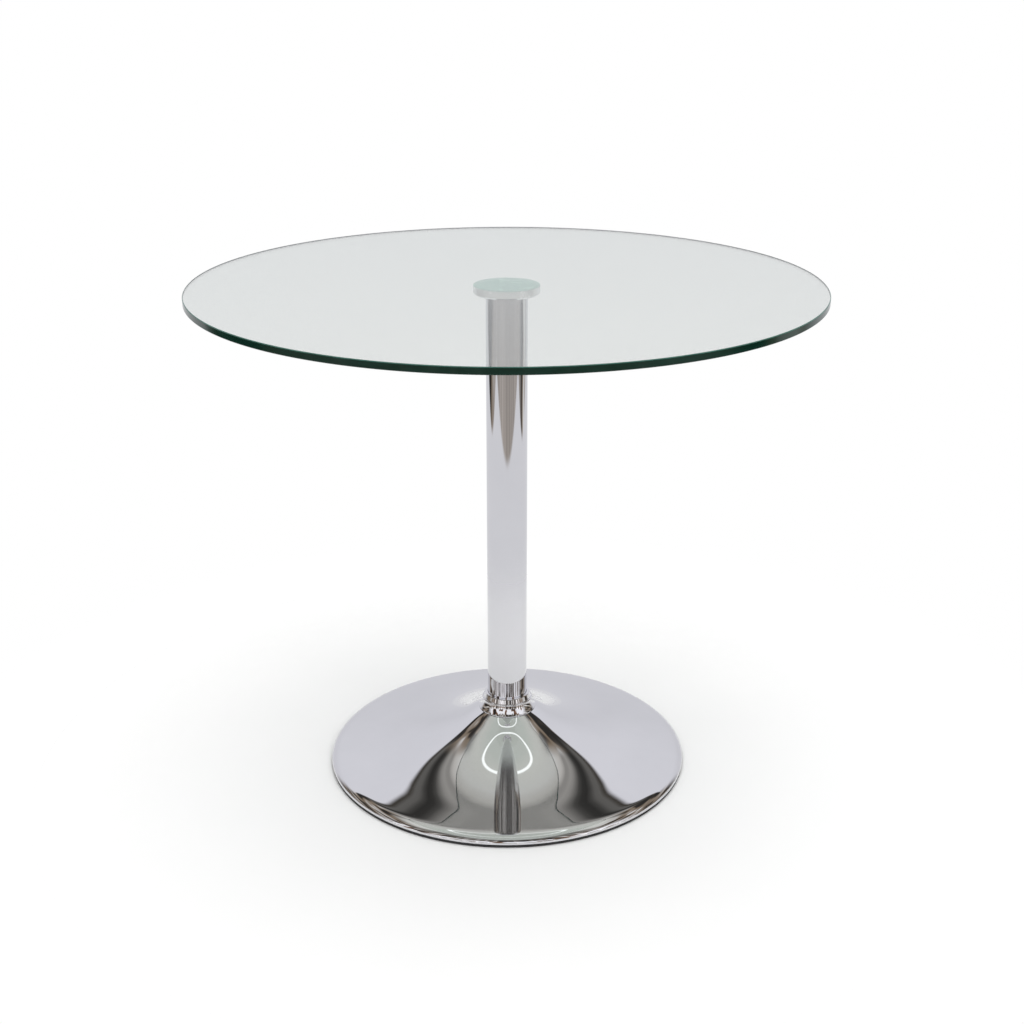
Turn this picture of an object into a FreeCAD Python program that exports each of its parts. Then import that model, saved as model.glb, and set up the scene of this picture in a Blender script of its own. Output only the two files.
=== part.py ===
"""Round glass dining table on a chromed pedestal, in millimetres.

The origin is the centre of the footprint on the floor, and +Z is the column's axis, upwards.
A threaded rod runs down the column from the bonded disc under the glass to a nut under the
ballast, and clamps disc, column, flared shell and ballast into one stiff pedestal.
"""
import FreeCAD, Part
import math
import os

import Sketcher

DIMENSIONS = {
    # tabletop and the disc bonded under it
    "table_height": 750.0,
    "glass_radius": 450.0,
    "glass_thickness": 10.0,
    "glass_arris": 1.0,
    "film_thickness": 0.3,
    "disc_radius": 47.5,
    "disc_thickness": 12.0,
    "disc_bevel": 2.0,
    "disc_spigot_radius": 15.0,
    "disc_spigot_length": 2.5,
    # column
    "tube_radius": 30.0,
    "tube_wall": 1.5,
    "plug_thickness": 10.0,
    "plug_clearance": 0.05,
    "plug_socket_radius": 15.2,
    "plug_socket_depth": 3.0,
    "foot_spigot_radius": 14.8,
    "foot_spigot_length": 1.0,
    # M10 rod and its fixings
    "rod_radius": 5.0,
    "rod_hole_radius": 5.5,
    "thread_hole_radius": 5.05,
    "thread_hole_depth": 12.0,
    "rod_end_gap": 0.5,
    "rod_bottom": 5.0,
    "rod_chamfer": 1.0,
    "washer_radius": 15.0,
    "washer_thickness": 2.5,
    "lock_washer_radius": 9.0,
    "lock_washer_thickness": 2.5,
    "lock_washer_turn": 352.0,
    "nut_across_flats": 17.0,
    "nut_thickness": 8.0,
    "nut_chamfer": 0.8,
    # flared base shell
    "neck_height": 83.0,
    "neck_radius": 43.5,
    "neck_hole_radius": 15.0,
    "shell_gauge": 1.2,
    "neck_slope": 0.45,
    "shoulder_bend": 90.0,
    "shoulder_end_radius": 54.0,
    "flare_bend": 250.0,
    "flare_end_radius": 97.0,
    "sweep_bend": 535.0,
    "sweep_end_radius": 200.0,
    "skirt_end_radius": 257.5,
    "roll_bend": 30.0,
    "rim_round": 4.5,
    "base_radius": 275.5,
    "shell_bottom": 5.0,
    # collar round the foot of the column
    "collar_bore_radius": 30.3,
    "collar_gap": 0.3,
    "collar_skirt_radius": 43.5,
    "collar_land": 1.6,
    "collar_flare_radius": 26.0,
    "collar_bead_radius": 38.4,
    "collar_bead_bottom": 98.4,
    "collar_bead_top": 101.4,
    "collar_groove_radius": 36.6,
    "collar_groove_top": 102.6,
    "collar_shoulder_radius": 34.9,
    "collar_top": 109.2,
    "collar_edge": 0.9,
    "ring_groove_depth": 1.6,
    "ring_groove_bottom": 93.0,
    "ring_groove_height": 2.6,
    "ring_section_radius": 0.85,
    # clamping plate, sleeve and ballast inside the shell
    "neck_plate_radius": 38.0,
    "neck_plate_thickness": 5.0,
    "sleeve_radius": 12.5,
    "sleeve_wall": 3.0,
    "ballast_radius": 240.0,
    "ballast_bottom": 6.0,
    "ballast_thickness": 10.0,
    "ballast_edge": 2.0,
    "boss_radius": 38.0,
    "boss_top_radius": 32.0,
    "boss_top": 30.0,
    "recess_radius": 22.0,
    "recess_top": 20.0,
    "pad_radius": 12.5,
    "pad_thickness": 4.2,
    "pad_circle_radius": 225.0,
    # rubber ring that the base stands on
    "foot_outer_radius": 274.9,
    "foot_inner_radius": 267.5,
    "foot_edge": 1.0,
    "foot_lip_thickness": 3.4,
    "foot_lip_gap": 0.2,
    "foot_lip_height": 7.0,
}

PAD_COUNT = 6

# stretches of the flare from neck to rim: where each ends, its bend, and 1 if hollow, -1 if bulging
FLARE_STRETCHES = (
    ("Sheet.shoulder_end_radius", "Sheet.shoulder_bend", -1),
    ("Sheet.flare_end_radius", "Sheet.flare_bend", 1),
    ("Sheet.sweep_end_radius", "Sheet.sweep_bend", 1),
    ("Sheet.skirt_end_radius", None, 0),
    (None, "Sheet.roll_bend", -1),
)

H_AXIS = -1
V_AXIS = -2
ORIGIN_POINT = (-1, 1)
START = 1
END = 2
CENTRE = 3

GLASS_BOTTOM = "Sheet.table_height - Sheet.glass_thickness"
DISC_TOP = GLASS_BOTTOM + " - Sheet.film_thickness"
TUBE_TOP = DISC_TOP + " - Sheet.disc_thickness"
TUBE_BORE = "Sheet.tube_radius - Sheet.tube_wall"
PLUG_RADIUS = TUBE_BORE + " - Sheet.plug_clearance"
PLATE_TOP = "Sheet.neck_height - Sheet.shell_gauge"
PLATE_BOTTOM = PLATE_TOP + " - Sheet.neck_plate_thickness"
WASHER_BOTTOM = "Sheet.recess_top - Sheet.washer_thickness"
LOCK_WASHER_BOTTOM = WASHER_BOTTOM + " - Sheet.lock_washer_thickness"
NUT_BOTTOM = LOCK_WASHER_BOTTOM + " - Sheet.nut_thickness"
BALLAST_TOP = "Sheet.ballast_bottom + Sheet.ballast_thickness"


def make_sheet(doc):
    """The driving dimensions, one cell each, named by its alias."""
    sheet = doc.addObject("Spreadsheet::Sheet", "Sheet")
    for row, (alias, value) in enumerate(DIMENSIONS.items(), start=1):
        sheet.set(f"A{row}", alias)
        sheet.set(f"B{row}", str(value))
        sheet.setAlias(f"B{row}", alias)
    doc.recompute()
    return sheet


def value_of(sheet, text):
    """The number that an expression on the sheet's cells comes to."""
    return float(sheet.evalExpression(text))


def new_body(doc, label):
    body = doc.addObject("PartDesign::Body", label)
    body.Label = label
    return body


def new_sketch(body, name, plane_role="XZ_Plane"):
    """A sketch on one of the body's own origin planes."""
    plane = next(item for item in body.Origin.OriginFeatures if item.Role == plane_role)
    sketch = body.newObject("Sketcher::SketchObject", name)
    sketch.AttachmentSupport = [(plane, "")]
    sketch.MapMode = "FlatFace"
    return sketch


def bind(sketch, kind, refs, value, text):
    """A dimension of the sketch, driven by an expression on the sheet."""
    index = sketch.addConstraint(Sketcher.Constraint(kind, *refs, value))
    sketch.setExpression(f"Constraints[{index}]", text)


def pin_point(sketch, sheet, geometry, point, across, height):
    """Holds one point of the sketch at a distance across and a height; zero means on the axis."""
    for kind, text, axis in (("DistanceX", across, V_AXIS), ("DistanceY", height, H_AXIS)):
        value = value_of(sheet, text)
        if abs(value) < 1e-9:
            sketch.addConstraint(Sketcher.Constraint("PointOnObject", geometry, point, axis))
        else:
            bind(sketch, kind, (*ORIGIN_POINT, geometry, point), value, text)


def arc_through(start, end, radius):
    """Arc from start to end, the short way. A positive radius turns left, a negative one right."""
    chord = end - start
    half = chord.Length / 2
    left = FreeCAD.Vector(-chord.y, chord.x, 0).normalize()
    side = math.copysign(1, radius)
    centre = (start + end) * 0.5 + left * (side * math.sqrt(radius * radius - half * half))
    first, last = (start, end) if radius > 0 else (end, start)
    angles = [math.atan2(point.y - centre.y, point.x - centre.x) for point in (first, last)]
    circle = Part.Circle(centre, FreeCAD.Vector(0, 0, 1), abs(radius))
    return Part.ArcOfCircle(circle, *angles)


def outline(body, sheet, name, corners):
    """Closed outline in the XZ plane. A corner is (across, height) or, where the stretch that
    follows it is an arc, (across, height, radius text, turn), with turn 1 for left, -1 for right."""
    sketch = new_sketch(body, name)
    points = [
        FreeCAD.Vector(value_of(sheet, corner[0]), value_of(sheet, corner[1]), 0)
        for corner in corners
    ]
    starts = []
    ends = []
    for index, corner in enumerate(corners):
        here = points[index]
        there = points[(index + 1) % len(points)]
        if len(corner) == 2:
            item = sketch.addGeometry(Part.LineSegment(here, there))
            starts.append((item, START))
            ends.append((item, END))
            continue
        radius = value_of(sheet, corner[2])
        item = sketch.addGeometry(arc_through(here, there, radius * corner[3]))
        starts.append((item, START if corner[3] > 0 else END))
        ends.append((item, END if corner[3] > 0 else START))
        bind(sketch, "Radius", (item,), radius, corner[2])
    for index, corner in enumerate(corners):
        sketch.addConstraint(Sketcher.Constraint("Coincident", *ends[index - 1], *starts[index]))
        pin_point(sketch, sheet, *starts[index], corner[0], corner[1])
    return sketch


def revolve(body, sketch, name, kind="PartDesign::Revolution"):
    """Turns a sketch a full turn about the column's axis."""
    feature = body.newObject(kind, name)
    feature.Profile = sketch
    feature.ReferenceAxis = (sketch, ["V_Axis"])
    feature.Angle = 360.0
    sketch.Visibility = False
    return feature


def turned_piece(doc, sheet, label, corners):
    """A body that is one outline turned about the axis."""
    body = new_body(doc, label)
    sketch = outline(body, sheet, f"{label}_outline", corners)
    revolve(body, sketch, f"{label}_turned")
    return body


def ring_corners(inner, outer, bottom, top):
    """Corners of a plain ring's section."""
    return [(inner, bottom), (outer, bottom), (outer, top), (inner, top)]


def make_glass_top(doc, sheet):
    """Toughened round pane with a polished arris on both edges."""
    inset = "Sheet.glass_radius - Sheet.glass_arris"
    low = GLASS_BOTTOM
    high = "Sheet.table_height"
    corners = [
        ("0", low),
        (inset, low),
        ("Sheet.glass_radius", low + " + Sheet.glass_arris"),
        ("Sheet.glass_radius", high + " - Sheet.glass_arris"),
        (inset, high),
        ("0", high),
    ]
    return turned_piece(doc, sheet, "glass_top", corners)


def make_bond_film(doc, sheet):
    """Clear adhesive between the disc and the glass."""
    corners = ring_corners("0", "Sheet.disc_radius", DISC_TOP, GLASS_BOTTOM)
    return turned_piece(doc, sheet, "bond_film", corners)


def make_top_disc(doc, sheet):
    """Metal disc bonded under the glass, with a centring spigot and a blind threaded hole."""
    bottom = TUBE_TOP
    spigot = bottom + " - Sheet.disc_spigot_length"
    thread_top = spigot + " + Sheet.thread_hole_depth"
    corners = [
        ("0", thread_top),
        ("Sheet.thread_hole_radius", thread_top),
        ("Sheet.thread_hole_radius", spigot),
        ("Sheet.disc_spigot_radius", spigot),
        ("Sheet.disc_spigot_radius", bottom),
        ("Sheet.disc_radius - Sheet.disc_bevel", bottom),
        ("Sheet.disc_radius", bottom + " + Sheet.disc_bevel"),
        ("Sheet.disc_radius", DISC_TOP),
        ("0", DISC_TOP),
    ]
    return turned_piece(doc, sheet, "top_disc", corners)


def make_column_tube(doc, sheet):
    """Straight round tube from the neck of the shell to the disc."""
    corners = ring_corners(TUBE_BORE, "Sheet.tube_radius", "Sheet.neck_height", TUBE_TOP)
    return turned_piece(doc, sheet, "column_tube", corners)


def make_column_top_plug(doc, sheet):
    """Plug welded flush in the head of the tube, with a socket for the disc's spigot."""
    top = TUBE_TOP
    bottom = top + " - Sheet.plug_thickness"
    socket = top + " - Sheet.plug_socket_depth"
    corners = [
        ("Sheet.rod_hole_radius", bottom),
        (PLUG_RADIUS, bottom),
        (PLUG_RADIUS, top),
        ("Sheet.plug_socket_radius", top),
        ("Sheet.plug_socket_radius", socket),
        ("Sheet.rod_hole_radius", socket),
    ]
    return turned_piece(doc, sheet, "column_top_plug", corners)


def make_column_foot_plug(doc, sheet):
    """Plug welded flush in the foot of the tube; its spigot centres the tube on the shell."""
    bottom = "Sheet.neck_height"
    spigot = bottom + " - Sheet.foot_spigot_length"
    top = bottom + " + Sheet.plug_thickness"
    corners = [
        ("Sheet.rod_hole_radius", spigot),
        ("Sheet.foot_spigot_radius", spigot),
        ("Sheet.foot_spigot_radius", bottom),
        (PLUG_RADIUS, bottom),
        (PLUG_RADIUS, top),
        ("Sheet.rod_hole_radius", top),
    ]
    return turned_piece(doc, sheet, "column_foot_plug", corners)


def make_tie_rod(doc, sheet):
    """M10 rod from the disc's threaded hole to the nut under the ballast."""
    thread_top = TUBE_TOP + " - Sheet.disc_spigot_length + Sheet.thread_hole_depth"
    top = thread_top + " - Sheet.rod_end_gap"
    bottom = "Sheet.rod_bottom"
    tip = "Sheet.rod_radius - Sheet.rod_chamfer"
    corners = [
        ("0", bottom),
        (tip, bottom),
        ("Sheet.rod_radius", bottom + " + Sheet.rod_chamfer"),
        ("Sheet.rod_radius", top + " - Sheet.rod_chamfer"),
        (tip, top),
        ("0", top),
    ]
    return turned_piece(doc, sheet, "tie_rod", corners)


def make_collar(doc, sheet):
    """Stepped and flared cover ring round the foot of the column, grooved inside for a ring."""
    bottom = "Sheet.neck_height + Sheet.collar_gap"
    land = bottom + " + Sheet.collar_land"
    groove_top = "Sheet.ring_groove_bottom + Sheet.ring_groove_height"
    groove_wall = "Sheet.collar_bore_radius + Sheet.ring_groove_depth"
    bead_height = "(Sheet.collar_bead_top - Sheet.collar_bead_bottom)"
    corners = [
        ("Sheet.collar_bore_radius", bottom),
        ("Sheet.collar_skirt_radius", bottom),
        ("Sheet.collar_skirt_radius", land, "Sheet.collar_flare_radius", -1),
        ("Sheet.collar_groove_radius", "Sheet.collar_bead_bottom"),
        ("Sheet.collar_bead_radius - 0.3 * " + bead_height, "Sheet.collar_bead_bottom",
         "0.55 * " + bead_height, 1),
        ("Sheet.collar_bead_radius - 0.3 * " + bead_height, "Sheet.collar_bead_top"),
        ("Sheet.collar_groove_radius", "Sheet.collar_bead_top"),
        ("Sheet.collar_groove_radius", "Sheet.collar_groove_top"),
        ("Sheet.collar_shoulder_radius", "Sheet.collar_top - Sheet.collar_edge"),
        ("Sheet.collar_shoulder_radius - Sheet.collar_edge", "Sheet.collar_top"),
        ("Sheet.collar_bore_radius", "Sheet.collar_top"),
        ("Sheet.collar_bore_radius", groove_top),
        (groove_wall, groove_top),
        (groove_wall, "Sheet.ring_groove_bottom"),
        ("Sheet.collar_bore_radius", "Sheet.ring_groove_bottom"),
    ]
    return turned_piece(doc, sheet, "collar", corners)


def make_collar_ring(doc, sheet):
    """Rubber O-ring that holds the collar snug on the tube."""
    ring = doc.addObject("Part::Torus", "collar_o_ring")
    ring.Label = "collar_o_ring"
    ring.setExpression("Radius1", "Sheet.tube_radius + Sheet.ring_section_radius + 0.02")
    ring.setExpression("Radius2", "Sheet.ring_section_radius")
    ring.setExpression(
        "Placement.Base.z", "Sheet.ring_groove_bottom + Sheet.ring_groove_height / 2"
    )
    return ring


def trumpet_sketch(body, sheet, name, drop, wall, bottom):
    """Half section of the flare: neck, tangent stretches, rounded rim and vertical edge.
    drop lowers it and wall draws the rim in, so that it also makes the inner face."""
    sketch = new_sketch(body, name)
    rim_text = f"Sheet.rim_round - {wall}"
    edge_text = f"Sheet.base_radius - {wall}"
    top_text = f"Sheet.neck_height - {drop}"
    hole = value_of(sheet, "Sheet.neck_hole_radius")
    neck = value_of(sheet, "Sheet.neck_radius")
    rim = value_of(sheet, rim_text)
    edge = value_of(sheet, edge_text)
    top = value_of(sheet, top_text)
    low = value_of(sheet, bottom)
    upright = math.pi / 2

    def arc(centre_x, centre_y, radius, first, last):
        circle = Part.Circle(
            FreeCAD.Vector(centre_x, centre_y, 0), FreeCAD.Vector(0, 0, 1), radius
        )
        return sketch.addGeometry(Part.ArcOfCircle(circle, first, last))

    def line(x0, y0, x1, y1):
        ends = (FreeCAD.Vector(x0, y0, 0), FreeCAD.Vector(x1, y1, 0))
        return sketch.addGeometry(Part.LineSegment(*ends))

    neck_line = line(hole, top, neck, top)
    across = neck
    height = top
    lean = math.atan(value_of(sheet, "Sheet.neck_slope"))
    stretches = []
    for end_text, bend_text, side in FLARE_STRETCHES:
        if bend_text is None:
            end = value_of(sheet, end_text)
            end_height = height - (end - across) * math.tan(lean)
            stretches.append((line(across, height, end, end_height), START, END))
            across = end
            height = end_height
            continue
        bend = side * value_of(sheet, bend_text)
        centre_x = across + bend * math.sin(lean)
        centre_y = height + bend * math.cos(lean)
        if end_text is None:
            # the last stretch meets the rim's arc where both have the same slope
            end_lean = math.asin((centre_x - edge + rim) / (rim + bend))
        else:
            end_lean = math.asin((centre_x - value_of(sheet, end_text)) / bend)
        if side > 0:
            item = arc(centre_x, centre_y, bend, -upright - lean, -upright - end_lean)
            stretches.append((item, START, END))
        else:
            item = arc(centre_x, centre_y, -bend, upright - end_lean, upright - lean)
            stretches.append((item, END, START))
        bind(sketch, "Radius", (item,), abs(bend), bend_text)
        across = centre_x - bend * math.sin(end_lean)
        height = centre_y - bend * math.cos(end_lean)
        lean = end_lean
    rim_centre = height - rim * math.cos(lean)
    rim_arc = arc(edge - rim, rim_centre, rim, 0, upright - lean)
    stretches.append((rim_arc, END, START))
    edge_line = line(edge, rim_centre, edge, low)
    stretches.append((edge_line, START, END))
    bottom_line = line(edge, low, hole, low)
    hole_line = line(hole, low, hole, top)

    for item in (neck_line, bottom_line):
        sketch.addConstraint(Sketcher.Constraint("Horizontal", item))
    for item in (edge_line, hole_line):
        sketch.addConstraint(Sketcher.Constraint("Vertical", item))
    shoulder = stretches[0]
    sketch.addConstraint(Sketcher.Constraint("Coincident", neck_line, END, *shoulder[:2]))
    for before, after in zip(stretches, stretches[1:]):
        joined = (before[0], before[2], after[0], after[1])
        sketch.addConstraint(Sketcher.Constraint("Tangent", *joined))
    for joined in (
        (edge_line, END, bottom_line, START),
        (bottom_line, END, hole_line, START),
        (hole_line, END, neck_line, START),
    ):
        sketch.addConstraint(Sketcher.Constraint("Coincident", *joined))
    origin = ORIGIN_POINT
    bind(sketch, "DistanceX", (*origin, neck_line, START), hole, "Sheet.neck_hole_radius")
    bind(sketch, "DistanceX", (*origin, neck_line, END), neck, "Sheet.neck_radius")
    bind(sketch, "DistanceY", (*origin, neck_line, START), top, top_text)
    centre_text = "Sheet.neck_radius - Sheet.shoulder_bend * sin(atan(Sheet.neck_slope))"
    centre = value_of(sheet, centre_text)
    bind(sketch, "DistanceX", (*origin, shoulder[0], CENTRE), centre, centre_text)
    for stretch, (end_text, _, _) in zip(stretches, FLARE_STRETCHES):
        if end_text is not None:
            end = value_of(sheet, end_text)
            bind(sketch, "DistanceX", (*origin, stretch[0], stretch[2]), end, end_text)
    bind(sketch, "Radius", (rim_arc,), rim, rim_text)
    bind(sketch, "DistanceX", (*origin, edge_line, START), edge, edge_text)
    if abs(low) < 1e-9:
        sketch.addConstraint(Sketcher.Constraint("PointOnObject", bottom_line, START, H_AXIS))
    else:
        bind(sketch, "DistanceY", (*origin, bottom_line, START), low, bottom)
    return sketch


def make_base_shell(doc, sheet):
    """Spun shell: a flat neck, a flare that runs out to a rolled rim, and a vertical edge."""
    body = new_body(doc, "base_shell")
    outer = trumpet_sketch(body, sheet, "shell_outside", "0", "0", "Sheet.shell_bottom")
    blank = revolve(body, outer, "shell_blank")
    doc.recompute()
    blank_volume = blank.Shape.Volume
    inner = trumpet_sketch(body, sheet, "shell_inside", "Sheet.shell_gauge", "Sheet.shell_gauge", "0")
    hollow = revolve(body, inner, "shell_hollow", "PartDesign::Groove")
    doc.recompute()
    if hollow.Shape.Volume > 0.2 * blank_volume:
        raise RuntimeError("the shell was not hollowed out")
    return body


def make_neck_plate(doc, sheet):
    """Steel plate under the shell's neck that spreads the clamping force."""
    corners = ring_corners(
        "Sheet.rod_hole_radius", "Sheet.neck_plate_radius", PLATE_BOTTOM, PLATE_TOP
    )
    return turned_piece(doc, sheet, "neck_plate", corners)


def make_spacer_sleeve(doc, sheet):
    """Tube round the rod that carries the clamping force from the plate to the ballast."""
    inner = "Sheet.sleeve_radius - Sheet.sleeve_wall"
    corners = ring_corners(inner, "Sheet.sleeve_radius", "Sheet.boss_top", PLATE_BOTTOM)
    return turned_piece(doc, sheet, "spacer_sleeve", corners)


def make_ballast_disc(doc, sheet):
    """Cast iron weight: a disc with a central boss, recessed below for the nut."""
    bottom = "Sheet.ballast_bottom"
    edge = "Sheet.ballast_radius - Sheet.ballast_edge"
    corners = [
        ("Sheet.rod_hole_radius", "Sheet.recess_top"),
        ("Sheet.recess_radius", "Sheet.recess_top"),
        ("Sheet.recess_radius", bottom),
        (edge, bottom),
        ("Sheet.ballast_radius", bottom + " + Sheet.ballast_edge"),
        ("Sheet.ballast_radius", BALLAST_TOP + " - Sheet.ballast_edge"),
        (edge, BALLAST_TOP),
        ("Sheet.boss_radius", BALLAST_TOP),
        ("Sheet.boss_top_radius", "Sheet.boss_top"),
        ("Sheet.rod_hole_radius", "Sheet.boss_top"),
    ]
    return turned_piece(doc, sheet, "ballast_disc", corners)


def make_damping_pads(doc, sheet):
    """Round rubber pads on the ballast that keep the shell from ringing against it."""
    pads = []
    for index in range(PAD_COUNT):
        pad = doc.addObject("Part::Cylinder", f"damping_pad_{index + 1}")
        angle = 360.0 * (index + 0.5) / PAD_COUNT
        pad.setExpression("Radius", "Sheet.pad_radius")
        pad.setExpression("Height", "Sheet.pad_thickness")
        pad.setExpression("Placement.Base.x", f"Sheet.pad_circle_radius * cos({angle} deg)")
        pad.setExpression("Placement.Base.y", f"Sheet.pad_circle_radius * sin({angle} deg)")
        pad.setExpression("Placement.Base.z", BALLAST_TOP)
        pads.append(pad)
    group = doc.addObject("Part::Compound", "damping_pads")
    group.Label = "damping_pads"
    group.Links = pads
    return group


def make_rod_washer(doc, sheet):
    """Large plain washer against the ballast."""
    corners = ring_corners(
        "Sheet.rod_hole_radius", "Sheet.washer_radius", WASHER_BOTTOM, "Sheet.recess_top"
    )
    return turned_piece(doc, sheet, "rod_washer", corners)


def make_rod_lock_washer(doc, sheet):
    """Split spring washer under the plain one."""
    body = new_body(doc, "rod_lock_washer")
    corners = ring_corners(
        "Sheet.rod_hole_radius", "Sheet.lock_washer_radius", LOCK_WASHER_BOTTOM, WASHER_BOTTOM
    )
    sketch = outline(body, sheet, "lock_washer_outline", corners)
    ring = revolve(body, sketch, "lock_washer_ring")
    ring.setExpression("Angle", "Sheet.lock_washer_turn")
    return body


def make_rod_nut(doc, sheet):
    """Hexagon nut on the rod's lower end, with chamfered corners."""
    prism = doc.addObject("Part::Prism", "nut_prism")
    prism.Polygon = 6
    prism.setExpression("Circumradius", "Sheet.nut_across_flats / sqrt(3)")
    prism.setExpression("Height", "Sheet.nut_thickness")
    blank = doc.addObject("Part::Cylinder", "nut_blank")
    blank.setExpression("Radius", "Sheet.nut_across_flats / sqrt(3)")
    blank.setExpression("Height", "Sheet.nut_thickness")
    doc.recompute()
    rims = [
        number
        for number, edge in enumerate(blank.Shape.Edges, start=1)
        if isinstance(edge.Curve, Part.Circle)
    ]
    chamfer = value_of(sheet, "Sheet.nut_chamfer")
    turned = doc.addObject("Part::Chamfer", "nut_turned")
    turned.Base = blank
    turned.Edges = [(number, chamfer, 2 * chamfer) for number in rims]
    hexagon = doc.addObject("Part::Common", "nut_hexagon")
    hexagon.Base = prism
    hexagon.Tool = turned
    bore = doc.addObject("Part::Cylinder", "nut_bore")
    bore.setExpression("Radius", "Sheet.thread_hole_radius")
    bore.setExpression("Height", "Sheet.nut_thickness")
    nut = doc.addObject("Part::Cut", "rod_nut")
    nut.Label = "rod_nut"
    nut.Base = hexagon
    nut.Tool = bore
    nut.setExpression("Placement.Base.z", NUT_BOTTOM)
    return nut


def make_floor_ring(doc, sheet):
    """Black rubber ring under the shell's edge, with a lip that grips inside the shell."""
    lip_outer = "Sheet.base_radius - Sheet.shell_gauge - Sheet.foot_lip_gap"
    lip_inner = lip_outer + " - Sheet.foot_lip_thickness"
    corners = [
        ("Sheet.foot_inner_radius", "0"),
        ("Sheet.foot_outer_radius - Sheet.foot_edge", "0"),
        ("Sheet.foot_outer_radius", "Sheet.foot_edge"),
        ("Sheet.foot_outer_radius", "Sheet.shell_bottom"),
        (lip_outer, "Sheet.shell_bottom"),
        (lip_outer, "Sheet.foot_lip_height"),
        (lip_inner, "Sheet.foot_lip_height"),
        (lip_inner, "Sheet.shell_bottom"),
        ("Sheet.foot_inner_radius", "Sheet.shell_bottom"),
    ]
    return turned_piece(doc, sheet, "floor_ring", corners)


def check_document(doc, pieces):
    """Stops if an object failed to compute or a piece has no sound shape."""
    failed = [item.Label for item in doc.Objects if {"Invalid", "Error"} & set(item.State)]
    unsound = [
        piece.Label for piece in pieces if piece.Shape.isNull() or not piece.Shape.isValid()
    ]
    if failed or unsound:
        raise RuntimeError(f"failed objects {failed}, unsound pieces {unsound}")


def main():
    doc = FreeCAD.newDocument("pedestal_table")
    sheet = make_sheet(doc)
    makers = (
        make_glass_top,
        make_bond_film,
        make_top_disc,
        make_column_tube,
        make_column_top_plug,
        make_column_foot_plug,
        make_tie_rod,
        make_collar,
        make_collar_ring,
        make_base_shell,
        make_neck_plate,
        make_spacer_sleeve,
        make_ballast_disc,
        make_damping_pads,
        make_rod_washer,
        make_rod_lock_washer,
        make_rod_nut,
        make_floor_ring,
    )
    pieces = [maker(doc, sheet) for maker in makers]
    doc.recompute()
    check_document(doc, pieces)
    os.makedirs("parts", exist_ok=True)
    for piece in pieces:
        piece.Shape.exportStep(f"parts/{piece.Label}.step")
        box = piece.Shape.optimalBoundingBox()
        print(f"{piece.Label}: z {box.ZMin:.2f} to {box.ZMax:.2f}, volume {piece.Shape.Volume:.0f}")


main()
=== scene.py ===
"""Looks of the round glass pedestal table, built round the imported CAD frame, in metres."""
import math

import bmesh
import bpy
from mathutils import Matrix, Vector


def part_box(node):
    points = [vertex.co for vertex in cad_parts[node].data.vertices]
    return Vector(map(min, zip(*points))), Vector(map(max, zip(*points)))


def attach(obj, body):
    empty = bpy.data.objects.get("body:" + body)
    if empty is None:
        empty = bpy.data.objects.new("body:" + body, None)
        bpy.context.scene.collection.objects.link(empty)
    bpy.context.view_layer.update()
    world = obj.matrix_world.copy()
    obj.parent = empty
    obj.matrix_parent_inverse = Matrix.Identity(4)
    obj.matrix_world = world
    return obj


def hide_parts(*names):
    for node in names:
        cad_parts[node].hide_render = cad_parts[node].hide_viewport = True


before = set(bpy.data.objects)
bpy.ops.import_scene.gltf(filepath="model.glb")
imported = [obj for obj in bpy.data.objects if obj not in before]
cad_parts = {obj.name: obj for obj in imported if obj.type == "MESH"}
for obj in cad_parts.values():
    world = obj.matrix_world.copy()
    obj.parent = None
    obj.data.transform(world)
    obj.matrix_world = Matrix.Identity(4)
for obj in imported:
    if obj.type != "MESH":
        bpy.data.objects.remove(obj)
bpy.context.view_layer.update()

MM = 0.001
TURNS = 384  # facets round a large turned piece
SMALL_TURNS = 128
FILLET_STEPS = 5
HOLDING_ROW = 0.15  # distance of the row beside a fillet, as a share of its reach
SEAM = 0.02 * MM  # gap between faces that touch, so that both shade cleanly
SHARP_ANGLE = 32  # degrees between faces from which an edge is creased
ON_AXIS = 1e-7  # a point closer to the axis than this lies on it

# Shape of the flared shell that its box doesn't give. A stretch is the radius at which it ends, and its
# radius of bend, which is negative where the shell bulges out and 0 where it runs straight. The last
# stretch ends where the round rim begins.
NECK_RADIUS = 43.5 * MM
NECK_HOLE = 15 * MM
NECK_SLOPE = 0.46
STRETCHES = (
    (62 * MM, -160 * MM),
    (97 * MM, 200 * MM),
    (200 * MM, 525 * MM),
    (262 * MM, 0),
    (None, -22 * MM),
)
RIM_ROUND = 4.5 * MM
SHELL_GAUGE = 1.2 * MM
LONGEST_EASE = 40 * MM  # the lean is averaged over at most this far to each side
EASE_STEPS = 6  # samples to each side in that average

# Camera
EYE_DISTANCE = 2.150
EYE_HEIGHT = 1.211
EYE_PITCH = 20.55
EYE_TURN = 0.20
LENS = 54.14
SENSOR = 36.0

scene = bpy.context.scene


# ---------------------------------------------------------------- shapes
def arc_points(centre, radius, first, last, steps):
    """Points on an arc, both ends included, from angle first to angle last in radians."""
    points = []
    for step in range(steps + 1):
        angle = first + (last - first) * step / steps
        points.append((centre[0] + radius * math.cos(angle), centre[1] + radius * math.sin(angle)))
    return points


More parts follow.
